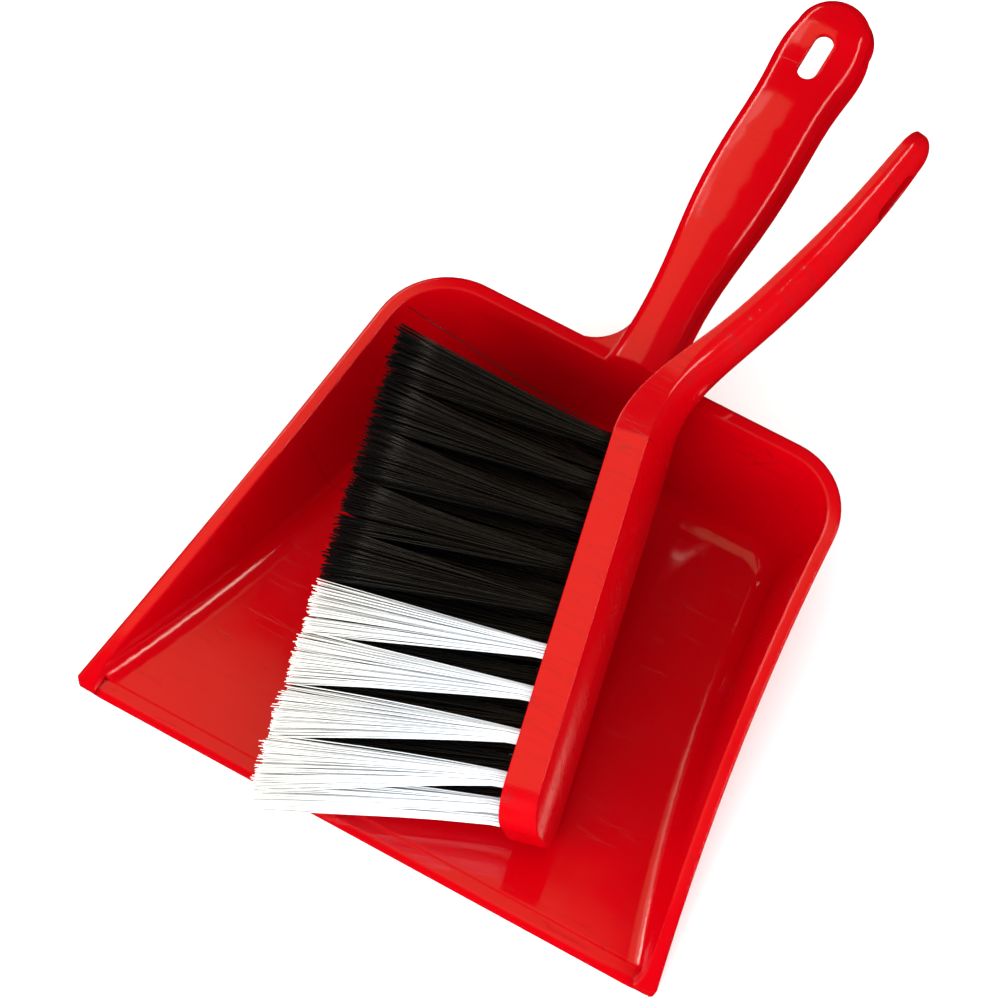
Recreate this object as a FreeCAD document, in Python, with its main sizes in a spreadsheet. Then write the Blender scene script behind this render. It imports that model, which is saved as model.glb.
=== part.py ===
# Dustpan and hand brush set: a moulded plastic pan and a brush lying on its side in the tray.
# Frame: +Z up, +Y towards the pan's handle, origin on the flat underside of the floor.
import FreeCAD, Part
import math
import os

from FreeCAD import Placement, Rotation, Vector

os.makedirs("parts", exist_ok=True)
doc = FreeCAD.newDocument("dustpan_set")

# ---------------------------------------------------------------- driving dimensions
SIZES = {
    # tray
    "lip_setback": 92.0,          # lip edge in front of the origin
    "floor_front_half": 106.2,
    "floor_mid_half": 80.9,
    "floor_rear_half": 66.0,
    "floor_mid_run": 79.5,        # from the lip
    "floor_length": 160.0,
    "wall_lean": 0.42,            # outward travel per unit of height
    "wall_thick": 2.1,
    "floor_thick": 2.0,
    "crease_radius": 9.0,
    "corner_radius": 12.0,
    "corner_growth": 0.27,        # corner radius gained per unit of height
    "rim_front_height": 2.4,
    "rim_mid_height": 29.5,
    "rim_back_height": 42.2,
    "rim_mid_run": 91.0,
    "rim_back_run": 182.0,
    "flange_width": 4.5,
    "flange_thick": 1.6,
    "skirt_drop": 4.0,
    "skirt_thick": 1.5,
    "lip_strip": 6.7,
    "lip_step": 0.4,
    "lip_bevel": 2.5,
    "lip_edge": 0.7,
    "lip_corner": 3.0,            # full height corner left beside the step
    "plan_half_width": 111.7,
    "plan_corner": 4.0,
    # pan handle
    "channel_wall": 2.0,
    "channel_start": 185.0,       # from the lip
    "channel_crown": 0.9,
    "channel_draft": 1.0,
    "channel_shoulder": 4.5,
    "slot_centre": 300.0,         # from the lip
    "slot_length": 18.0,
    "slot_width": 6.8,
    "web_half": 31.0,
    "web_reach": 198.0,           # from the lip
    "web_thick": 4.0,
    "web_front": 170.0,           # from the lip
    "web_neck_half": 10.4,
    "web_bend_half": 15.3,
    "web_bend_run": 3.8,          # behind the rim
    "web_lap": 0.4,
    "web_slope": 0.12,            # rise per unit of length
    # brush stock
    "block_thick": 13.6,
    "block_width": 38.0,
    "block_length": 122.6,        # straight part of the long sides
    "block_end": 13.0,            # round end beyond the straight part
    "block_crown": 1.4,
    "brush_hole_place": 232.0,
    "brush_hole_length": 18.5,
    "brush_hole_width": 7.0,
    # brush pose in the tray
    "brush_right": 41.1,
    "brush_front": -60.8,
    "brush_lift": 21.2,
    "brush_yaw": 13.67,
    "brush_pitch": 13.18,
    "brush_roll": 6.9,
    # tufts
    "tuft_radius": 2.5,
    "tuft_depth": 10.0,
    "tuft_reach": 82.0,
    "tuft_pitch": 14.7,
    "tuft_first": 1.5,
    "row_pitch": 7.0,
    "tip_half_long": 5.4,
    "tip_fan": 1.25,
    "tip_gap": 0.7,
    "floor_gap": 1.3,
    # flat wire anchors
    "anchor_length": 6.4,
    "anchor_thick": 0.4,
    "anchor_depth": 1.8,
}

sheet = doc.addObject("Spreadsheet::Sheet", "Sizes")
for row, (alias, value) in enumerate(SIZES.items(), start=1):
    sheet.set(f"A{row}", alias)
    sheet.set(f"B{row}", str(value))
    sheet.setAlias(f"B{row}", alias)
doc.recompute()


def size(alias):
    """One driving dimension, read from the sheet."""
    return float(sheet.get(alias))


LIP = -size("lip_setback")
REACH = 140.0                     # half width of the cutting tools, wider than the pan
TOP = 60.0                        # height of the cutting tools, above the rim
SPARE = 8.0                       # how far a cutting tool stands out of what it cuts


# ---------------------------------------------------------------- shared helpers
def circle_through(first, second, third):
    """Centre and radius of the circle through three points of a plane."""
    (ax, ay), (bx, by), (cx, cy) = first, second, third
    scale = 2 * (ax * (by - cy) + bx * (cy - ay) + cx * (ay - by))
    a2, b2, c2 = ax * ax + ay * ay, bx * bx + by * by, cx * cx + cy * cy
    x = (a2 * (by - cy) + b2 * (cy - ay) + c2 * (ay - by)) / scale
    y = (a2 * (cx - bx) + b2 * (ax - cx) + c2 * (bx - ax)) / scale
    return x, y, math.hypot(ax - x, ay - y)


def arc(first, middle, last):
    return Part.Arc(first, middle, last).toShape()


def line(first, last):
    return Part.LineSegment(first, last).toShape()


def stadium(length, width, height):
    """Upright prism with round ends, centred on the origin, long along Y."""
    radius = width / 2
    straight = length / 2 - radius
    corners = [Vector(radius, -straight), Vector(radius, straight)]
    corners += [Vector(-radius, straight), Vector(-radius, -straight)]
    edges = [
        line(corners[0], corners[1]),
        arc(corners[1], Vector(0, straight + radius), corners[2]),
        line(corners[2], corners[3]),
        arc(corners[3], Vector(0, -straight - radius), corners[0]),
    ]
    return Part.Face(Part.Wire(edges)).extrude(Vector(0, 0, height))


# ---------------------------------------------------------------- tray
def tray_outline(height, growth):
    """Closed plan outline of the tray walls at one height, moved outward by growth."""
    out = size("wall_lean") * height + growth
    rear = LIP + size("floor_length") + out
    cx, cy, side_radius = circle_through(
        (size("floor_front_half") + out, LIP),
        (size("floor_mid_half") + out, LIP + size("floor_mid_run")),
        (size("floor_rear_half") + out, LIP + size("floor_length")),
    )

    def side_point(y):
        return Vector(cx - math.sqrt(side_radius**2 - (y - cy) ** 2), y, height)

    corner = size("corner_radius") + size("corner_growth") * height + growth
    corner_y = rear - corner
    corner_x = cx - math.sqrt((side_radius + corner) ** 2 - (corner_y - cy) ** 2)
    centre = Vector(corner_x, corner_y, height)
    across = Vector(cx - corner_x, cy - corner_y, 0).normalize()
    diagonal = (across + Vector(0, 1, 0)).normalize()
    front = side_point(LIP - SPARE)
    tangent = centre + across * corner
    middle = side_point((front.y + tangent.y) / 2)
    bend = centre + diagonal * corner
    back = Vector(corner_x, rear, height)

    def mirrored(point):
        return Vector(-point.x, point.y, point.z)

    return Part.Wire([
        line(mirrored(front), front),
        arc(front, middle, tangent),
        arc(tangent, bend, back),
        line(back, mirrored(back)),
        arc(mirrored(back), mirrored(bend), mirrored(tangent)),
        arc(mirrored(tangent), mirrored(middle), mirrored(front)),
    ])


def tray_block(bottom, growth, fillet=0.0):
    """Solid between the floor plane and the tool height, inside the walls."""
    wires = [tray_outline(bottom, growth), tray_outline(TOP, growth)]
    block = Part.makeLoft(wires, True, True)
    if not fillet:
        return block
    rims = []
    for edge in block.Edges:
        box = edge.BoundBox
        if box.ZMax < bottom + 0.01 and box.YMax > LIP:
            rims.append(edge)
    return block.makeFillet(fillet, rims)


def below_rim(drop):
    """Everything lower than the rim's arched side profile, moved down by drop."""
    cy, cz, radius = circle_through(
        (LIP, size("rim_front_height")),
        (LIP + size("rim_mid_run"), size("rim_mid_height")),
        (LIP + size("rim_back_run"), size("rim_back_height")),
    )

    def rim_point(y):
        return Vector(-REACH, y, cz + math.sqrt(radius**2 - (y - cy) ** 2) - drop)

    rear = LIP + size("web_reach") + SPARE
    front, middle, back = rim_point(LIP - SPARE), rim_point(0), rim_point(rear)
    base = -SPARE - drop
    low_front = Vector(-REACH, front.y, base)
    low_back = Vector(-REACH, back.y, base)
    wire = Part.Wire([
        arc(front, middle, back), line(back, low_back),
        line(low_back, low_front), line(low_front, front),
    ])
    return Part.Face(wire).extrude(Vector(2 * REACH, 0, 0))


def cavity():
    return tray_block(size("floor_thick"), 0.0, size("crease_radius"))


def tray_shell():
    """Walls, floor and the turned-down rim, still without the hollow."""
    thick = size("wall_thick")
    body = tray_block(0.0, thick, size("crease_radius") + thick).common(below_rim(0.0))
    rim = tray_block(0.0, size("flange_width")).common(below_rim(0.0))
    under = tray_block(-SPARE, size("flange_width") - size("skirt_thick"))
    rim = rim.cut(under.common(below_rim(size("flange_thick"))))
    rim = rim.cut(below_rim(size("skirt_drop")))
    return body.fuse(rim)


def plan_limit():
    """Upright block that trims the lip straight and rounds its two corners."""
    half = size("plan_half_width")
    block = Part.makeBox(2 * half, 3 * REACH, 3 * TOP, Vector(-half, LIP, -TOP))
    posts = []
    for edge in block.Edges:
        box = edge.BoundBox
        if box.ZLength > TOP and box.YMax < LIP + 1:
            posts.append(edge)
    return block.makeFillet(size("plan_corner"), posts)


def lip_tool():
    """Material removed along the front: a shallow step and a bevel."""
    top = size("floor_thick") - size("lip_step")
    half = size("floor_front_half") - size("lip_corner")
    profile = [
        Vector(-half, LIP - SPARE, size("lip_edge")),
        Vector(-half, LIP, size("lip_edge")),
        Vector(-half, LIP + size("lip_bevel"), top),
        Vector(-half, LIP + size("lip_strip"), top),
        Vector(-half, LIP + size("lip_strip"), top + SPARE),
        Vector(-half, LIP - SPARE, top + SPARE),
    ]
    wire = Part.makePolygon(profile + profile[:1])
    return Part.Face(wire).extrude(Vector(2 * half, 0, 0))


# ---------------------------------------------------------------- pan handle
# Stations: run from the lip, height of the lower edge, climb in degrees, half width, depth.
PAN_STATIONS = [
    (170.0, 31.5, 23.0, 13.5, 11.5),
    (184.0, 37.6, 23.0, 12.0, 10.0),
    (198.0, 43.7, 23.0, 11.0, 9.2),
    (214.0, 50.2, 20.5, 11.4, 9.2),
    (236.0, 57.1, 15.5, 13.9, 9.8),
    (262.0, 63.0, 11.5, 15.0, 10.5),
    (288.0, 67.4, 10.0, 14.9, 10.9),
    (311.0, 71.6, 10.5, 14.4, 10.9),
]


def channel_edges(half, depth, radius, base):
    """Right half of the inverted-U section: up the side, round the shoulder, to the crown."""
    crown = size("channel_crown")
    side = half - size("channel_draft")
    shoulder = depth - crown
    slant = radius * (1 - math.sqrt(0.5))
    low = Vector(half, 0, base)
    knee = Vector(side, 0, shoulder - radius)
    bend = Vector(side - slant, 0, shoulder - slant)
    flat = Vector(side - radius, 0, shoulder)
    quarter = Vector((side - radius) / 2, 0, depth - crown / 4)
    return [line(low, knee), arc(knee, bend, flat), arc(flat, quarter, Vector(0, 0, depth))]


def station_placement(run, low, climb):
    return Placement(Vector(0, LIP + run, low), Rotation(Vector(1, 0, 0), climb))


def handle_form(stations, inset, base):
    """Loft through the stations, with a round end turned from the last section."""
    shoulder = size("channel_shoulder") - inset
    wires = []
    for run, low, climb, half, depth in stations:
        right = channel_edges(half - inset, depth - inset, shoulder, base)
        left = [edge.mirror(Vector(), Vector(1, 0, 0)) for edge in right]
        floor = line(Vector(-half + inset, 0, base), Vector(half - inset, 0, base))
        wire = Part.Wire(Part.__sortEdges__(right + left + [floor]))
        wire.Placement = station_placement(run, low, climb)
        wires.append(wire)
    form = Part.makeLoft(wires, True, False)
    run, low, climb, half, depth = stations[-1]
    right = channel_edges(half - inset, depth - inset, shoulder, base)
    closing = [
        line(Vector(0, 0, depth - inset), Vector(0, 0, base)),
        line(Vector(0, 0, base), Vector(half - inset, 0, base)),
    ]
    section = Part.Face(Part.Wire(Part.__sortEdges__(right + closing)))
    end = section.revolve(Vector(), Vector(0, 0, 1), 180)
    end.Placement = station_placement(run, low, climb)
    return form.fuse(end)


def slot_placement():
    """Middle of the hang slot, on the line of the handle's lower edge."""
    before, after = PAN_STATIONS[-2], PAN_STATIONS[-1]
    share = (size("slot_centre") - before[0]) / (after[0] - before[0])
    low = before[1] + share * (after[1] - before[1])
    return station_placement(size("slot_centre"), low, after[2])


def placed_stadium(length, width, bottom, top, placement):
    prism = stadium(length, width, top - bottom)
    prism.translate(Vector(0, 0, bottom))
    prism.Placement = placement.multiply(prism.Placement)
    return prism


def root_web():
    """Plate that widens the rim into the handle, with a hollow curve on each side."""
    half, neck = size("web_half"), size("web_neck_half")
    reach = LIP + size("web_reach")
    rim_line = LIP + size("rim_back_run") + size("web_lap")
    inside = LIP + size("web_front")
    bend_x, bend_y = size("web_bend_half"), rim_line + size("web_bend_run")
    wire = Part.Wire([
        line(Vector(-half, inside, 0), Vector(half, inside, 0)),
        line(Vector(half, inside, 0), Vector(half, rim_line, 0)),
        arc(Vector(half, rim_line, 0), Vector(bend_x, bend_y, 0), Vector(neck, reach, 0)),
        line(Vector(neck, reach, 0), Vector(-neck, reach, 0)),
        arc(Vector(-neck, reach, 0), Vector(-bend_x, bend_y, 0), Vector(-half, rim_line, 0)),
        line(Vector(-half, rim_line, 0), Vector(-half, inside, 0)),
    ])
    prism = Part.Face(wire).extrude(Vector(0, 0, TOP))
    near, far = inside - SPARE, reach + SPARE

    def level(y):
        return size("rim_back_height") + size("web_slope") * (y - rim_line)

    thick = size("web_thick")
    corners = [
        Vector(-REACH, near, level(near)), Vector(-REACH, far, level(far)),
        Vector(-REACH, far, level(far) - thick), Vector(-REACH, near, level(near) - thick),
    ]
    slab = Part.Face(Part.makePolygon(corners + corners[:1])).extrude(Vector(2 * REACH, 0, 0))
    return prism.common(slab)


def dustpan_shape():
    inset = size("channel_wall")
    inner = [entry for entry in PAN_STATIONS if entry[0] > size("channel_start")]
    first = PAN_STATIONS[1]
    start = size("channel_start")
    climbed = (start - first[0]) * math.tan(math.radians(first[2]))
    inner.insert(0, (start, first[1] + climbed) + first[2:])
    slot = slot_placement()
    length, width = size("slot_length"), size("slot_width")
    shell = tray_shell().fuse(root_web()).fuse(handle_form(PAN_STATIONS, 0.0, 0.0))
    shell = shell.cut(cavity())
    shell = shell.cut(handle_form(inner, inset, -SPARE))
    depth = PAN_STATIONS[-1][-1]
    shell = shell.cut(placed_stadium(length, width, -SPARE, depth + SPARE, slot))
    shell = shell.common(plan_limit())
    return shell.cut(lip_tool()).removeSplitter()


# ---------------------------------------------------------------- brush stock
SHORT = 0.5                       # how much a rounding stays short of the end it rounds

# The brush is built in its own frame: X away from the bristle face, Y along the stock, Z across.
# Stations: place along Y, height of the lower edge, climb, thickness, width, straight side.
BRUSH_STATIONS = [
    (122.6, 0.0, 0.0, 13.6, 38.0, 12.2),
    (134.0, 1.2, 11.0, 13.2, 32.0, 11.2),
    (147.0, 6.4, 27.0, 12.2, 25.6, 8.0),
    (160.0, 15.1, 35.0, 11.0, 21.6, 3.6),
    (176.0, 26.6, 33.0, 10.1, 20.5, 2.3),
    (196.0, 38.8, 30.0, 9.7, 21.6, 2.3),
    (216.0, 49.8, 27.0, 8.6, 21.4, 2.3),
    (234.0, 58.2, 25.0, 7.9, 20.0, 2.3),
    (244.6, 62.7, 24.0, 7.2, 18.4, 2.3),
]


def brush_section(thick, width, side):
    """D section, right half: up the straight side, then a quarter oval to the crown. X is up."""
    half, rise = width / 2, thick - side
    oval = 0.5523                 # pole distance that turns a cubic into a quarter ellipse
    low, knee, peak = Vector(0, 0, half), Vector(side, 0, half), Vector(thick, 0, 0)
    dome = Part.BezierCurve()
    dome.setPoles([knee, Vector(side + rise * oval, 0, half), Vector(thick, 0, half * oval), peak])
    return [line(low, knee), dome.toShape()]


def brush_station(place, low, climb):
    return Placement(Vector(low, place, 0), Rotation(Vector(0, 0, 1), -climb))


def turned_end(edges, thick, half, placement):
    """Half section turned through half a circle about the upright line of its own station."""
    closing = [
        line(Vector(thick, 0, 0), Vector(0, 0, 0)),
        line(Vector(0, 0, 0), Vector(0, 0, half)),
    ]
    section = Part.Face(Part.Wire(Part.__sortEdges__(edges + closing)))
    end = section.revolve(Vector(), Vector(-1, 0, 0), 180)
    end.Placement = placement
    return end


def brush_handle():
    wires = []
    for place, low, climb, thick, width, side in BRUSH_STATIONS:
        right = brush_section(thick, width, side)
        left = [edge.mirror(Vector(), Vector(0, 0, 1)) for edge in right]
        floor = line(Vector(0, 0, -width / 2), Vector(0, 0, width / 2))
        wire = Part.Wire(Part.__sortEdges__(right + left + [floor]))
        wire.Placement = brush_station(place, low, climb)
        wires.append(wire)
    place, low, climb, thick, width, side = BRUSH_STATIONS[-1]
    end = turned_end(brush_section(thick, width, side), thick, width / 2,
                     brush_station(place, low, climb))
    return Part.makeLoft(wires, True, False).fuse(end)


def brush_block():
    """Slab with a slightly crowned top and a round end."""
    thick, width = size("block_thick"), size("block_width")
    end, length = size("block_end"), size("block_length")
    half = width / 2
    slab = Part.makeBox(thick, length + end, width, Vector(0, -end, -half))
    posts = [edge for edge in slab.Edges
             if edge.BoundBox.XLength > thick / 2 and edge.BoundBox.YMax < 0]
    slab = slab.makeFillet(end - SHORT, posts)
    shoulder = thick - size("block_crown")
    low, high = Vector(0, -end - SPARE, 0), Vector(thick, -end - SPARE, 0)
    crown = Part.Wire([
        line(low + Vector(0, 0, -half), low + Vector(0, 0, half)),
        line(low + Vector(0, 0, half), Vector(shoulder, low.y, half)),
        arc(Vector(shoulder, low.y, half), high, Vector(shoulder, low.y, -half)),
        line(Vector(shoulder, low.y, -half), low + Vector(0, 0, -half)),
    ])
    return slab.common(Part.Face(crown).extrude(Vector(0, length + end + SPARE, 0)))


def brush_rotation():
    turn = Rotation(Vector(0, 0, 1), size("brush_yaw"))
    climb = Rotation(Vector(1, 0, 0), size("brush_pitch"))
    lean = Rotation(Vector(0, 1, 0), -size("brush_roll"))
    return turn.multiply(climb).multiply(lean)


BRUSH_PLACE = Placement(
    Vector(size("brush_right"), size("brush_front"), size("brush_lift")), brush_rotation()
)


def brush_form():
    """Block, handle and hang hole of the stock, before the tuft holes."""
    places = [station[0] for station in BRUSH_STATIONS]
    index = max(i for i, place in enumerate(places) if place < size("brush_hole_place"))
    before, after = BRUSH_STATIONS[index], BRUSH_STATIONS[index + 1]
    share = (size("brush_hole_place") - before[0]) / (after[0] - before[0])
    low = before[1] + share * (after[1] - before[1])
    climb = before[2] + share * (after[2] - before[2])
    through = size("block_thick") + 2 * SPARE
    hole = stadium(size("brush_hole_length"), size("brush_hole_width"), through)
    hole.translate(Vector(0, 0, -SPARE))
    hole.rotate(Vector(), Vector(0, 1, 0), 90)
    hole.Placement = brush_station(size("brush_hole_place"), low, climb).multiply(hole.Placement)
    return brush_block().fuse(brush_handle()).cut(hole).removeSplitter()


# ---------------------------------------------------------------- tufts and their anchors
def tuft_rows():
    """(row, place along Y, place across Z, colour) of every tuft; rows 2 and 4 are staggered."""
    pitch, first = size("tuft_pitch"), size("tuft_first")
    tufts = []
    for row in range(5):
        across = (2 - row) * size("row_pitch")
        places = [first + pitch * step for step in range(9)]
        if row in (1, 3):
            places = [place - pitch / 2 for place in places]
        if row == 2:
            places.insert(0, first - 10.0)
        for number, place in enumerate(places, start=1):
            pale = number <= 4 if row in (0, 4) else number == 1
            tufts.append((row, number, place, across, "white" if pale else "black"))
    return tufts


def tip_spread(place):
    """Where a tuft's tip lies along Y: the bundle fans out from its middle."""
    middle = size("tuft_first") + 4 * size("tuft_pitch")
    return middle + (place - middle) * size("tip_fan")


def tip_rows(place):
    """Across positions and half thickness of the five tips, kept above the tray floor."""
    reach = size("tuft_reach")
    up = BRUSH_PLACE.Rotation.multVec(Vector(0, 0, 1)).z
    top = 2 * size("row_pitch")
    middle = BRUSH_PLACE.multVec(Vector(-reach, tip_spread(place), 0)).z
    floor = size("floor_thick") + size("floor_gap")
    lowest = max(-top, (floor - middle) / up + size("tuft_radius"))
    spacing = (top - lowest) / 4
    return [top - row * spacing for row in range(5)], (spacing - size("tip_gap")) / 2


def bound(kind, name, **cells):
    """Document object whose properties follow cells of the sheet."""
    made = doc.addObject(kind, name)
    for prop, cell in cells.items():
        made.setExpression(prop, f"Sizes.{cell}")
    return made


def across_placement(position):
    """Plane square to X, with its long direction along Y."""
    return Placement(position, Rotation(Vector(0, 1, 0), Vector(0, 0, 1), Vector(1, 0, 0), "XYZ"))


def anchor(name, place, across):
    """Flat wire that holds a folded tuft at the bottom of its hole."""
    plate = bound("Part::Box", name, Length="anchor_depth", Width="anchor_thick",
                  Height="anchor_length")
    corner = Vector(size("tuft_depth") - size("anchor_depth"), place - size("anchor_thick") / 2,
                    across - size("anchor_length") / 2)
    plate.Placement = BRUSH_PLACE.multiply(Placement(corner, Rotation()))
    return plate


def tuft(name, place, across, row, plate):
    """Bundle of filaments: round in its hole, fanned and flattened at the tip."""
    depth = size("tuft_depth")
    tips, half_thick = tip_rows(place)
    root = bound("Part::Circle", name + "_root", Radius="tuft_radius")
    root.Placement = BRUSH_PLACE.multiply(across_placement(Vector(depth, place, across)))
    mouth = bound("Part::Circle", name + "_mouth", Radius="tuft_radius")
    mouth.Placement = BRUSH_PLACE.multiply(across_placement(Vector(0, place, across)))
    tip = bound("Part::Ellipse", name + "_tip", MajorRadius="tip_half_long")
    tip.MinorRadius = half_thick
    end = Vector(-size("tuft_reach"), tip_spread(place), tips[row])
    tip.Placement = BRUSH_PLACE.multiply(across_placement(end))
    bundle = doc.addObject("Part::Loft", name + "_bundle")
    bundle.Sections = [root, mouth, tip]
    bundle.Solid = True
    bundle.Ruled = True
    cut = doc.addObject("Part::Cut", name)
    cut.Base = bundle
    cut.Tool = plate
    return cut


def stock(form, tufts, plates):
    """The moulding with a hole for every tuft and a nick for every anchor."""
    holes = []
    for index, (_, _, place, across, _) in enumerate(tufts):
        hole = bound("Part::Cylinder", f"hole_{index:02d}", Radius="tuft_radius",
                     Height="tuft_depth")
        hole.Placement = BRUSH_PLACE.multiply(across_placement(Vector(0, place, across)))
        holes.append(hole)
    tool = doc.addObject("Part::Compound", "hole_pattern")
    tool.Links = holes
    drilled = doc.addObject("Part::Cut", "drilled_stock")
    drilled.Base = form
    drilled.Tool = tool
    nicked = doc.addObject("Part::Cut", "brush_stock")
    nicked.Base = drilled
    nicked.Tool = plates
    return nicked


# ---------------------------------------------------------------- document
nodes = []

pan = doc.addObject("Part::Feature", "dustpan")
pan.Shape = dustpan_shape()
nodes.append(pan)

form = doc.addObject("Part::Feature", "stock_form")
form.Shape = brush_form()
form.Placement = BRUSH_PLACE

tufts = tuft_rows()
plates = []
for row, number, place, across, colour in tufts:
    name = f"tuft_{colour}_row{row + 1}_{number:02d}"
    plates.append(anchor(f"anchor_row{row + 1}_{number:02d}", place, across))
    nodes.append(tuft(name, place, across, row, plates[-1]))

anchors = doc.addObject("Part::Compound", "tuft_anchors")
anchors.Links = plates
nodes.append(anchors)
nodes.append(stock(form, tufts, anchors))

doc.recompute()

for item in doc.Objects:
    if "Invalid" in item.State or "Error" in item.State:
        raise RuntimeError(f"{item.Label} failed: {item.State}")
for node in nodes:
    node.Label = node.Name
    if node.Shape.isNull() or not node.Shape.isValid():
        raise RuntimeError(f"{node.Label} has no valid shape")
    node.Shape.exportStep(f"parts/{node.Label}.step")
    print(node.Label, len(node.Shape.Solids), "solids,", round(node.Shape.Volume, 1), "mm3")
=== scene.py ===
# %% [markdown]
# # Dustpan and hand brush
# This set is two injection moulded pieces, a red dustpan and a red brush stock, and nearly seven
# thousand plastic filaments held in the stock in tufts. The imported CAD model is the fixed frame:
# its dustpan and stock keep their own meshes and get their real finish here, and the solid that
# stands for each tuft is replaced with the filaments themselves. Every length is in metres.

import math
import random

import bmesh
import bpy
import numpy as np
from mathutils import Matrix, Vector


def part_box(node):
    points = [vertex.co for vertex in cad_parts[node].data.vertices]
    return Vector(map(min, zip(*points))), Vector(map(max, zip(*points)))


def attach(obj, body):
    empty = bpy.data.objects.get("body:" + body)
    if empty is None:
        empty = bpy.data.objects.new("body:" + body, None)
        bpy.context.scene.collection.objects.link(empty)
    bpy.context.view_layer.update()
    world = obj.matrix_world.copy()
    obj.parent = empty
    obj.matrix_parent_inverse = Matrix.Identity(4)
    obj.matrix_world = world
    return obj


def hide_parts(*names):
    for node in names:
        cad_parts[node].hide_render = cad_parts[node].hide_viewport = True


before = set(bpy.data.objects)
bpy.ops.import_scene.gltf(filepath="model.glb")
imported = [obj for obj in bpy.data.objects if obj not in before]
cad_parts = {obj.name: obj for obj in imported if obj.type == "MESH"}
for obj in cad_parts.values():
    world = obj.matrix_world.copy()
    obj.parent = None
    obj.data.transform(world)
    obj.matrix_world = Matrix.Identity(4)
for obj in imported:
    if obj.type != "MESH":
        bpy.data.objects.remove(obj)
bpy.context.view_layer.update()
MM = 0.001
BRUSH_BODY = "brush"


# %% [markdown]
# ## Colours and nodes
# Plastic makers quote a colour as it looks on a screen, so every colour here is an sRGB hex value,
# and one function turns it into the linear light that shaders work in. A second small function
# adds one node with its settings and its links, which keeps each material readable as a recipe.

# %% Colour and node helpers
def linear(hex_colour):
    """The linear RGBA of an sRGB hex colour."""
    channels = [int(hex_colour[i:i + 2], 16) / 255 for i in (1, 3, 5)]
    return tuple(c / 12.92 if c <= 0.04045 else ((c + 0.055) / 1.055) ** 2.4
                 for c in channels) + (1.0,)


def add_node(tree, kind, links=(), **settings):
    """A new node. links are (input, socket or value), settings are the node's own properties."""
    node = tree.nodes.new("ShaderNode" + kind)
    for name, value in settings.items():
        setattr(node, name, value)
    for socket, value in links:
        if isinstance(value, bpy.types.NodeSocket):
            tree.links.new(value, node.inputs[socket])
        else:
            node.inputs[socket].default_value = value
    return node


def new_material(name):
    """A material with only its Principled shader and its output, and its node tree."""
    material = bpy.data.materials.new(name)
    material.use_nodes = True
    tree = material.node_tree
    shader = next(n for n in tree.nodes if n.type == "BSDF_PRINCIPLED")
    return material, tree, shader


def across_grain(size_mm):
    """The texture scale whose pattern repeats every size_mm."""
    return 1 / (size_mm * MM)


print("middle grey on a screen, linear:", round(linear("#808080")[0], 3))


# %% [markdown]
# ## Camera
# The set is seen from above its right front, from about a metre and a half away, with a long lens.
# The lens is set from the wanted field of view, and the camera is placed along its own view
# direction from the point that it looks at.

# %% Camera
VIEW_AZIMUTH = math.radians(30.94)
VIEW_ELEVATION = math.radians(60.12)
VIEW_DISTANCE = 1.6
VIEW_TARGET = Vector((-26.26, 41.63, 0.0)) * MM
SENSOR_WIDTH = 36.0
FIELD_OF_VIEW = math.radians(12.155)

to_camera = Vector((math.sin(VIEW_AZIMUTH) * math.cos(VIEW_ELEVATION),
                    -math.cos(VIEW_AZIMUTH) * math.cos(VIEW_ELEVATION),
                    math.sin(VIEW_ELEVATION)))
lens = bpy.data.cameras.new("camera")
lens.sensor_width = SENSOR_WIDTH
lens.lens = SENSOR_WIDTH / 2 / math.tan(FIELD_OF_VIEW / 2)
lens.clip_end = 20.0
camera = bpy.data.objects.new("camera", lens)
camera.location = VIEW_TARGET + to_camera * VIEW_DISTANCE
camera.rotation_euler = (-to_camera).to_track_quat("-Z", "Y").to_euler()
bpy.context.scene.collection.objects.link(camera)
bpy.context.scene.camera = camera
bpy.context.scene.view_settings.view_transform = "Standard"
print("lens, mm:", round(lens.lens, 1))


# %% [markdown]
# ## Floor and light
# A plain pale floor and a pale surround fill the shadows. Glossy plastic is drawn by what it
# mirrors, so the large soft boxes are placed where the flat faces and the rounded creases of this
# set mirror them. The strips and the handle's box are seen in mirror images only, and the two
# fills only light the plastic. The floor and the surround are kept out of the mirror image, as
# black flags would do in a studio: a moulding of this red stays deep and clean beside its
# highlights.

# %% Floor
FLOOR_SIZE = 8.0
FLOOR_MOTTLE_MM = 400


def painted_floor():
    """A pale matt studio floor."""
    material, tree, shader = new_material("painted_studio_floor")
    place = add_node(tree, "TexCoord")
    mottle = add_node(tree, "TexNoise", [("Vector", place.outputs["Object"]),
                                         ("Scale", across_grain(FLOOR_MOTTLE_MM)), ("Detail", 3.0)])
    tone = add_node(tree, "Mix", [("Factor", mottle.outputs["Fac"]),
                                  ("A", linear("#FBFBFB")), ("B", linear("#FDFDFD"))],
                    data_type="RGBA")
    tree.links.new(tone.outputs["Result"], shader.inputs["Base Color"])
    shader.inputs["Roughness"].default_value = 0.9
    shader.inputs["Specular IOR Level"].default_value = 0.0
    return material


floor_form = bmesh.new()
bmesh.ops.create_grid(floor_form, x_segments=1, y_segments=1, size=FLOOR_SIZE / 2)
floor_mesh = bpy.data.meshes.new("floor")
floor_form.to_mesh(floor_mesh)
floor_form.free()
floor_mesh.materials.append(painted_floor())
floor = bpy.data.objects.new("floor", floor_mesh)
bpy.context.scene.collection.objects.link(floor)
floor.visible_glossy = False
print("floor, m:", FLOOR_SIZE)

# %% Surround and soft boxes
SURROUND_LIGHT = 1.2
AIM = Vector((0.0, 0.04, 0.0))
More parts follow.
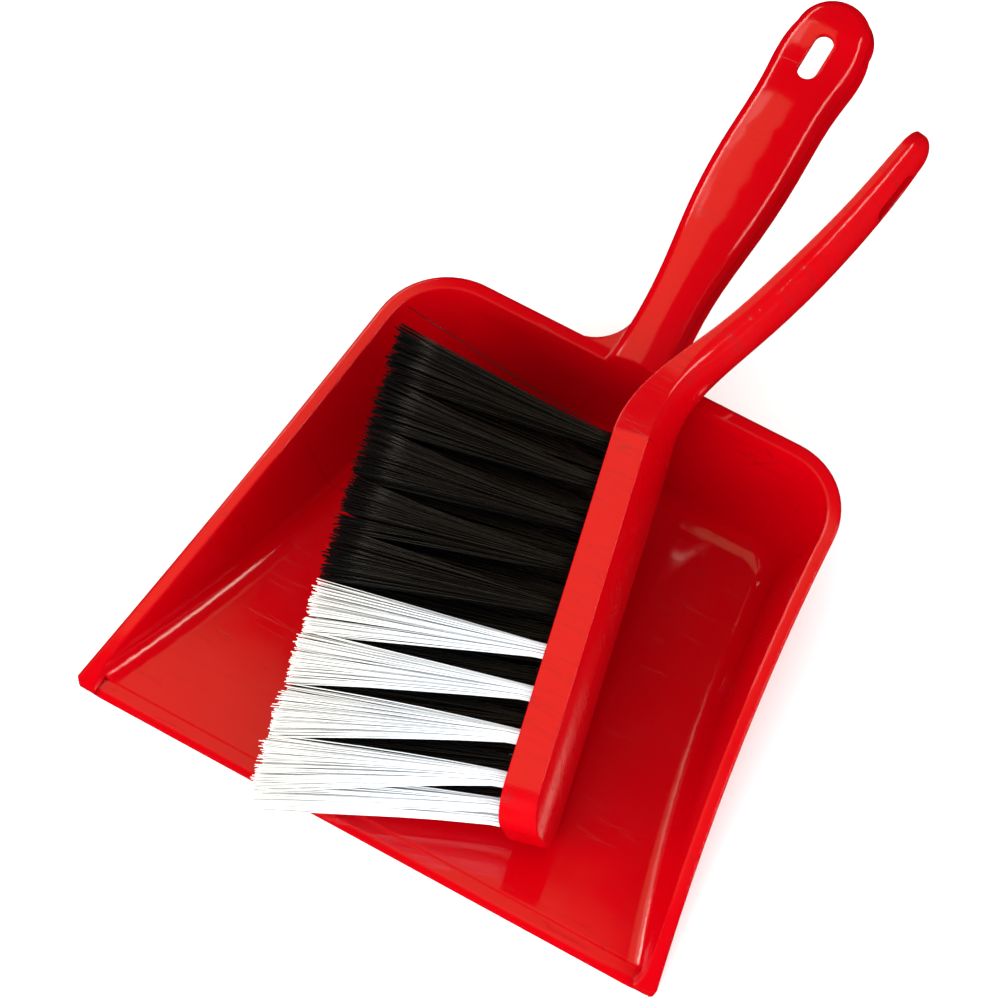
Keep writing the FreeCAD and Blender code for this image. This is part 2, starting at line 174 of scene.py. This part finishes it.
# name: where it stands, width and height, brightness of its face, colour, what it is for:
# "mirrored" is seen in mirror images only, "fill" only lights, "both" does both
SOFT_BOXES = {
    "overhead_box": ((-0.72, 0.05, 1.30), (1.0, 1.14), 0.9, "#FFD9A6", "both"),
    "handle_box": ((-0.82, 0.34, 1.05), (0.44, 0.42), 1.6, "#FFF4EC", "mirrored"),
    "left_strip": ((-1.04, 0.53, 1.09), (1.0, 0.16), 16.0, "#FFF0E0", "mirrored"),
    "right_strip": ((0.82, 0.37, 1.33), (1.0, 0.16), 16.0, "#FFF0E0", "mirrored"),
    "front_fill": ((-0.50, -1.50, 0.80), (2.4, 1.0), 6.2, "#FFFFFF", "fill"),
    "right_fill": ((1.50, -0.45, 0.55), (1.2, 0.5), 9.0, "#FFFFFF", "fill"),
}

world = bpy.data.worlds.new("surround")
world.use_nodes = True
bpy.context.scene.world = world
backdrop = next(n for n in world.node_tree.nodes if n.type == "BACKGROUND")
backdrop.inputs["Color"].default_value = linear("#FFFFFF")
backdrop.inputs["Strength"].default_value = SURROUND_LIGHT
world.cycles_visibility.glossy = False

for name, (place, (width, height), brightness, colour, use) in SOFT_BOXES.items():
    light = bpy.data.lights.new(name, "AREA")
    light.shape = "RECTANGLE"
    light.size = width
    light.size_y = height
    light.color = linear(colour)[:3]
    light.energy = brightness * math.pi * width * height
    box = bpy.data.objects.new(name, light)
    box.location = place
    box.rotation_euler = (AIM - Vector(place)).to_track_quat("-Z", "Y").to_euler()
    box.visible_glossy = use != "fill"
    box.visible_diffuse = use != "mirrored"
    bpy.context.scene.collection.objects.link(box)
print("soft boxes:", ", ".join(SOFT_BOXES))


# %% [markdown]
# ## Injection moulded polypropylene
# Pan and stock are moulded from red polypropylene in a polished steel mould. Its surface is glossy
# but not optically flat: the wall draws in a little as it cools, which bends reflections slowly.
# Use leaves fine scuffs and a few longer scratches, and they show mostly as a change of gloss.

# %% Red polypropylene
PAN_EDGE = 1.5 * MM
STOCK_EDGE = 0.9 * MM
EDGE_SAMPLES = 6
SWIRL_MM = 70
HAZE_MM = 22
SINK_MM = 26
SINK_DEPTH = 0.25 * MM
SINK_STRENGTH = 0.2
HAZE_RANGE = (0.35, 0.75)
HAZE_GLOSS = 0.05
# turn, spacing and length in mm of each family of scratches
SCRATCHES = (((0.2, 0.1, 0.3), 2.2, 26.0),
             ((0.1, -0.2, 1.9), 3.0, 34.0),
             ((-0.3, 0.2, 2.7), 3.6, 44.0))
SCRATCH_WIDTH = 0.03
SCRATCH_PATCHES = 0.7
SCRATCH_FADE = 0.08
SCRATCH_SOIL = 0.3
SCRATCH_GLOSS = 0.12
SCRATCH_DEPTH = 0.05 * MM
SCRATCH_STRENGTH = 0.35
POLYPROPYLENE_IOR = 1.49


def scratch_lines(tree, place, turn, spacing_mm, length_mm, keep):
    """A mask of thin scratches, which are the long edges of stretched cells."""
    aligned = add_node(tree, "Mapping", [("Vector", place), ("Rotation", turn),
                                         ("Scale", (1 / (length_mm * MM), 1 / (spacing_mm * MM),
                                                    1 / (length_mm * MM)))])
    cells = add_node(tree, "TexVoronoi", [("Vector", aligned.outputs["Vector"]), ("Scale", 1.0),
                                          ("Randomness", 1.0)], feature="DISTANCE_TO_EDGE")
    line = add_node(tree, "MapRange", [("Value", cells.outputs["Distance"]),
                                       ("From Min", 0.0), ("From Max", SCRATCH_WIDTH),
                                       ("To Min", 1.0), ("To Max", 0.0)])
    patches = add_node(tree, "TexNoise", [("Vector", aligned.outputs["Vector"]),
                                          ("Scale", SCRATCH_PATCHES), ("Detail", 2.0)])
    worn = add_node(tree, "MapRange", [("Value", patches.outputs["Fac"]),
                                       ("From Min", keep), ("From Max", keep + SCRATCH_FADE)])
    return add_node(tree, "Math", [(0, line.outputs["Result"]), (1, worn.outputs["Result"])],
                    operation="MULTIPLY").outputs["Value"]


def red_polypropylene(name, deep, fresh, gloss, edge, wear_from, seed):
    """Glossy moulded polypropylene with slow sink marks, scuffs and scratches."""
    material, tree, shader = new_material(name)
    place = add_node(tree, "TexCoord").outputs["Object"]
    shifted = add_node(tree, "Mapping", [("Vector", place),
                                         ("Location", (seed, seed, seed))]).outputs["Vector"]
    swirl = add_node(tree, "TexNoise", [("Vector", shifted), ("Scale", across_grain(SWIRL_MM)),
                                        ("Detail", 3.0), ("Roughness", 0.5)])
    colour = add_node(tree, "Mix", [("Factor", swirl.outputs["Fac"]), ("A", linear(deep)),
                                    ("B", linear(fresh))], data_type="RGBA")
    scuffs = [scratch_lines(tree, shifted, turn, spacing, length, wear_from)
              for turn, spacing, length in SCRATCHES]
    wear = scuffs[0]
    for more in scuffs[1:]:
        wear = add_node(tree, "Math", [(0, wear), (1, more)], operation="MAXIMUM").outputs["Value"]
    soiled = add_node(tree, "Math", [(0, wear), (1, SCRATCH_SOIL)], operation="MULTIPLY")
    colour = add_node(tree, "Mix", [("Factor", soiled.outputs["Value"]),
                                    ("A", colour.outputs["Result"]), ("B", linear("#4A0508"))],
                      data_type="RGBA")
    haze = add_node(tree, "TexNoise", [("Vector", shifted), ("Scale", across_grain(HAZE_MM)),
                                       ("Detail", 6.0), ("Roughness", 0.65)])
    hazy = add_node(tree, "MapRange", [("Value", haze.outputs["Fac"]), ("From Min", HAZE_RANGE[0]),
                                       ("From Max", HAZE_RANGE[1]), ("To Min", gloss),
                                       ("To Max", gloss + HAZE_GLOSS)])
    roughness = add_node(tree, "Math", [(0, wear), (1, SCRATCH_GLOSS), (2, hazy.outputs["Result"])],
                         operation="MULTIPLY_ADD")
    sink = add_node(tree, "TexNoise", [("Vector", shifted), ("Scale", across_grain(SINK_MM)),
                                       ("Detail", 1.0)])
    rounded = add_node(tree, "Bevel", [("Radius", edge)], samples=EDGE_SAMPLES)
    sunk = add_node(tree, "Bump", [("Height", sink.outputs["Fac"]), ("Strength", SINK_STRENGTH),
                                   ("Distance", SINK_DEPTH), ("Normal", rounded.outputs["Normal"])])
    scored = add_node(tree, "Bump", [("Height", wear), ("Strength", SCRATCH_STRENGTH),
                                     ("Distance", SCRATCH_DEPTH),
                                     ("Normal", sunk.outputs["Normal"])], invert=True)
    tree.links.new(colour.outputs["Result"], shader.inputs["Base Color"])
    tree.links.new(roughness.outputs["Value"], shader.inputs["Roughness"])
    tree.links.new(scored.outputs["Normal"], shader.inputs["Normal"])
    shader.inputs["IOR"].default_value = POLYPROPYLENE_IOR
    return material


pan_finish = red_polypropylene("injection_moulded_polypropylene_pan", "#A20006", "#AA000A",
                               gloss=0.06, edge=PAN_EDGE, wear_from=0.61, seed=0.0)
stock_finish = red_polypropylene("injection_moulded_polypropylene_stock", "#A00005", "#AA0009",
                                 gloss=0.10, edge=STOCK_EDGE, wear_from=0.51, seed=3.7)
print("moulded finishes:", pan_finish.name, stock_finish.name)


# %% [markdown]
# ## Drawn steel anchors
# Each tuft is folded over a short piece of flat wire, which is punched into the stock. Drawn steel
# wire is fairly smooth and has fine lines along its length.

# %% Drawn steel
DRAWING_LINE = (4 * MM, 0.05 * MM, 0.05 * MM)


def drawn_steel():
    """Flat steel wire with drawing lines."""
    material, tree, shader = new_material("drawn_flat_steel_wire")
    place = add_node(tree, "TexCoord").outputs["Object"]
    along = add_node(tree, "Mapping", [("Vector", place),
                                       ("Scale", tuple(1 / size for size in DRAWING_LINE))])
    lines = add_node(tree, "TexNoise", [("Vector", along.outputs["Vector"]), ("Scale", 1.0)])
    rough = add_node(tree, "MapRange", [("Value", lines.outputs["Fac"]), ("To Min", 0.25),
                                        ("To Max", 0.45)])
    tree.links.new(rough.outputs["Result"], shader.inputs["Roughness"])
    shader.inputs["Base Color"].default_value = linear("#C4C6C8")
    shader.inputs["Metallic"].default_value = 1.0
    return material


def finish_node(node, material):
    """Puts a finish on a CAD node in place of what it was imported with."""
    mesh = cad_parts[node].data
    mesh.materials.clear()
    mesh.materials.append(material)


finish_node("dustpan", pan_finish)
finish_node("brush_stock", stock_finish)
finish_node("tuft_anchors", drawn_steel())
print("finishes on:", "dustpan, brush_stock, tuft_anchors")


# %% [markdown]
# ## Filament finishes
# The filaments are drawn from polypropylene too, dyed black or white. Black ones show as fine
# grey glints along their length. White ones are bright, with a little dust and wear at their tips,
# and each filament is a slightly different tone. The mesh carries two attributes for that: a
# number for each filament, and how far a point is along it.

# %% Filament plastics
DUST_FROM = 0.45
SMOOTHER = 0.08
ROUGHER = 0.12


def drawn_filament(name, root, tip, gloss, spread):
    """Drawn polypropylene filament, root and tip are its colours there."""
    material, tree, shader = new_material(name)
    along = add_node(tree, "Attribute", attribute_name="along").outputs["Fac"]
    strand = add_node(tree, "Attribute", attribute_name="strand").outputs["Fac"]
    dust = add_node(tree, "MapRange", [("Value", along), ("From Min", DUST_FROM),
                                       ("From Max", 1.0)], interpolation_type="SMOOTHSTEP")
    colour = add_node(tree, "Mix", [("Factor", dust.outputs["Result"]), ("A", linear(root)),
                                    ("B", linear(tip))], data_type="RGBA")
    tone = add_node(tree, "MapRange", [("Value", strand), ("To Min", 1 - spread),
                                       ("To Max", 1.0)])
    toned = add_node(tree, "HueSaturation", [("Color", colour.outputs["Result"]),
                                             ("Value", tone.outputs["Result"])])
    rough = add_node(tree, "MapRange", [("Value", strand), ("To Min", gloss - SMOOTHER),
                                        ("To Max", gloss + ROUGHER)])
    tree.links.new(toned.outputs["Color"], shader.inputs["Base Color"])
    tree.links.new(rough.outputs["Result"], shader.inputs["Roughness"])
    shader.inputs["IOR"].default_value = POLYPROPYLENE_IOR
    return material


black_filament = drawn_filament("drawn_black_polypropylene_filament", "#070707", "#101010",
                                gloss=0.30, spread=0.5)
white_filament = drawn_filament("drawn_white_polypropylene_filament", "#D8DDE1", "#D9D9D5",
                                gloss=0.38, spread=0.06)
print("filament finishes:", black_filament.name, white_filament.name)


# %% [markdown]
# ## One filament
# A filament is a long thin rod with a cut end. It starts as a cone of five sides, with its
# narrower end at the tip, and its length is cut into short steps so that it can bend. Its roots
# are deep in the stock, out of sight. The same rod is copied for every filament.

# %% One straight filament
FILAMENT_RADIUS = 0.23 * MM
FILAMENT_SIDES = 5
FILAMENT_STEPS = 6
FILAMENT_TAPER = 0.8


def straight_filament():
    """A rod of unit length along +Z as a mesh, wide at its root."""
    form = bmesh.new()
    bmesh.ops.create_cone(form, cap_ends=True, segments=FILAMENT_SIDES,
                          radius1=FILAMENT_RADIUS, radius2=FILAMENT_TAPER * FILAMENT_RADIUS,
                          depth=1.0, matrix=Matrix.Translation((0, 0, 0.5)))
    for step in range(1, FILAMENT_STEPS):
        bmesh.ops.bisect_plane(form, geom=form.verts[:] + form.edges[:] + form.faces[:],
                               plane_co=(0, 0, step / FILAMENT_STEPS), plane_no=(0, 0, 1))
    mesh = bpy.data.meshes.new("straight_filament")
    form.to_mesh(mesh)
    form.free()
    return mesh


rod = straight_filament()
rod_points = [v.co.copy() for v in rod.vertices]
print("one filament:", len(rod.vertices), "vertices,", len(rod.polygons), "faces")


# %% [markdown]
# ## Where each tuft starts and ends
# The stock lies turned on its side in the pan, so the tufts have axes of their own: away from the
# bristle face, along the stock and across it. A tuft's CAD solid says where the tuft is rooted,
# where it leaves the stock and how far its tips spread, measured along those axes.

# %% Axes of the stock
STOCK_YAW = math.radians(13.67)
STOCK_PITCH = math.radians(13.18)
STOCK_ROLL = math.radians(6.9)
stock_turn = (Matrix.Rotation(STOCK_YAW, 3, "Z") @ Matrix.Rotation(STOCK_PITCH, 3, "X")
              @ Matrix.Rotation(-STOCK_ROLL, 3, "Y"))
turn_to_stock = np.array(stock_turn)
TUFT_DEPTH = 10.0 * MM
END_SLICE = 0.5 * MM


def tuft_measures(node):
    """Root centre, and tip centre and half size, of a tuft's solid along the stock's axes."""
    points = np.array([v.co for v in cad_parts[node].data.vertices]) @ turn_to_stock
    roots = points[points[:, 0] > points[:, 0].max() - END_SLICE]
    tips = points[points[:, 0] < points[:, 0].min() + END_SLICE]
    root = (roots.min(0) + roots.max(0)) / 2
    tip = (tips.min(0) + tips.max(0)) / 2
    half = (tips.max(0) - tips.min(0)) / 2
    return Vector(root), Vector(tip), half


tuft_nodes = sorted(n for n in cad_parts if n.startswith(("tuft_white", "tuft_black")))
print("tufts:", len(tuft_nodes), "first tip half sizes, mm:",
      (tuft_measures(tuft_nodes[0])[2] / MM).round(1))


# %% [markdown]
# ## Tufts of filaments
# A tuft is packed tight in its round hole and fans out towards its tips, where the brush was
# trimmed, so neighbouring tufts cross. Each filament keeps its place in the bundle: one that
# starts near the edge of the hole ends near the edge of the fan. Small differences in direction,
# bow and length make it look like cut plastic and not like a comb. Filaments lean together in
# small clumps. The random numbers are seeded from the tuft's name, so each run gives the same.

# %% Bend filaments into tufts
FILAMENTS_PER_TUFT = 150
HOLE_FILL = 2.25 * MM
FAN_HALF = 10.2 * MM
FAN_DEPTH = 1.15
CLUMPS = 7
FAN_GROWTH = 1.12
LEAN_MOST = 0.22
SCATTER_ALONG = 0.035
SCATTER_ACROSS = 0.05
TRIM_MM = (0.4, 0.8)
BOW_MM = 0.35
PAN_WALL = 2.0 * MM
FLOOR_CLEAR = 0.5 * MM
END_MARGIN = 1.0 * MM
STRAY_TUFT = "tuft_black_row1_09"
STRAY_PLACE = (1.55, 0.4)
pan_floor_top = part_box("dustpan")[0].z + PAN_WALL
brush_end = min(tuft_measures(node)[1].y for node in tuft_nodes) - END_MARGIN


def disc_point(numbers):
    """A random point of the unit disc, evenly spread."""
    reach = math.sqrt(numbers.random())
    turn = numbers.uniform(0, 2 * math.pi)
    return reach * math.cos(turn), reach * math.sin(turn)


def tuft_piece(node, material):
    """The filaments of one tuft as one mesh, in place."""
    root, tip, half = tuft_measures(node)
    numbers = random.Random(node)
    mouth = root.x - TUFT_DEPTH
    clumps = [disc_point(numbers) for _ in range(CLUMPS)]
    toward_end = min(FAN_HALF, tip.y - brush_end)
    form = bmesh.new()
    along = form.verts.layers.float.new("along")
    strand = form.verts.layers.float.new("strand")
    places = [disc_point(numbers) for _ in range(FILAMENTS_PER_TUFT)]
    if node == STRAY_TUFT:
        places.append(STRAY_PLACE)
    for u, v in places:
        near = min(clumps, key=lambda c: (c[0] - u) ** 2 + (c[1] - v) ** 2)
        lean = numbers.uniform(0.0, LEAN_MOST) if u * u + v * v <= 1 else 0.0
        fan_u = u + (near[0] - u) * lean + numbers.gauss(0, SCATTER_ALONG)
        fan_v = v + (near[1] - v) * lean + numbers.gauss(0, SCATTER_ACROSS)
        end = Vector((tip.x + numbers.gauss(*TRIM_MM) * MM,
                      tip.y + fan_u * (FAN_HALF if fan_u > 0 else toward_end),
                      tip.z + fan_v * half[2] * FAN_DEPTH))
        held = 1 / max(1.0, math.hypot(u, v))
        start = Vector((root.x, root.y + u * held * HOLE_FILL, root.z + v * held * HOLE_FILL))
        bow = Vector((0, numbers.gauss(0, BOW_MM), numbers.gauss(0, BOW_MM))) * MM
        tone = numbers.random()
        first = len(form.verts)
        form.from_mesh(rod)
        form.verts.ensure_lookup_table()
        for vertex, point in zip(form.verts[first:], rod_points):
            share = point.z
            x = start.x + (end.x - start.x) * share
            free = max(0.0, (mouth - x) / (mouth - end.x))
            spread = free ** FAN_GROWTH
            y = start.y + (end.y - start.y) * spread + bow.y * math.sin(math.pi * free)
            z = start.z + (end.z - start.z) * spread + bow.z * math.sin(math.pi * free)
            placed = stock_turn @ Vector((x, y + point.x, z + point.y))
            placed.z = max(placed.z, pan_floor_top + FLOOR_CLEAR + point.y)
            vertex.co = placed
            vertex[along] = share
            vertex[strand] = tone
    bmesh.ops.recalc_face_normals(form, faces=form.faces[:])
    for face in form.faces:
        face.smooth = True
    mesh = bpy.data.meshes.new(node.replace("tuft", "filaments"))
    form.to_mesh(mesh)
    form.free()
    mesh.materials.append(material)
    piece = bpy.data.objects.new(mesh.name, mesh)
    bpy.context.scene.collection.objects.link(piece)
    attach(piece, BRUSH_BODY)
    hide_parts(node)
    return piece


triangles = 0
for node in tuft_nodes:
    is_white = "white" in node
    piece = tuft_piece(node, white_filament if is_white else black_filament)
    triangles += sum(len(p.vertices) - 2 for p in piece.data.polygons)
print("filaments:", len(tuft_nodes) * FILAMENTS_PER_TUFT + 1, "triangles:", triangles)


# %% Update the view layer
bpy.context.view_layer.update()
